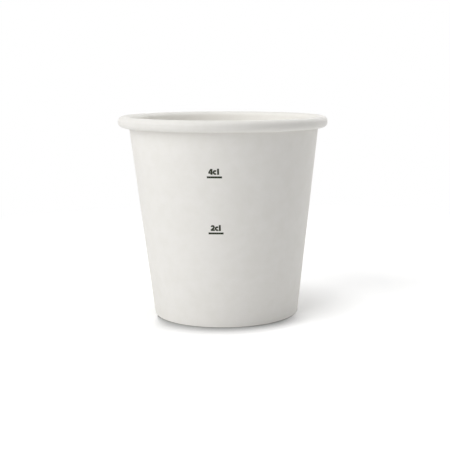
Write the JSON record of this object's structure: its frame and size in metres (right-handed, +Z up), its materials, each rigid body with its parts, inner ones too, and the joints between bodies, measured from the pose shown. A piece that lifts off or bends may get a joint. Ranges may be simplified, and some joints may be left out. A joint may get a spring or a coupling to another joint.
{
  "type": "paper cup",
  "caption": "Small tapered paper cup with a rolled rim, a lapped side seam, a recessed bottom and fill lines on the outside.",
  "frame": {"origin": "on the surface that the cup stands on, under the middle of the cup", "axes": "+Z up along the cup's axis towards the mouth, -Y towards the fill lines"},
  "size_m": [0.053, 0.053, 0.0505],
  "materials": {
    "side_card": "matte",
    "bottom_card": "satin",
    "ink": "matte"
  },
  "bodies": {
    "root": {"sidewall": "side_card", "bottom_disc": "bottom_card", "fill_line_2cl": "ink", "fill_line_4cl": "ink"}
  },
  "joints": []
}
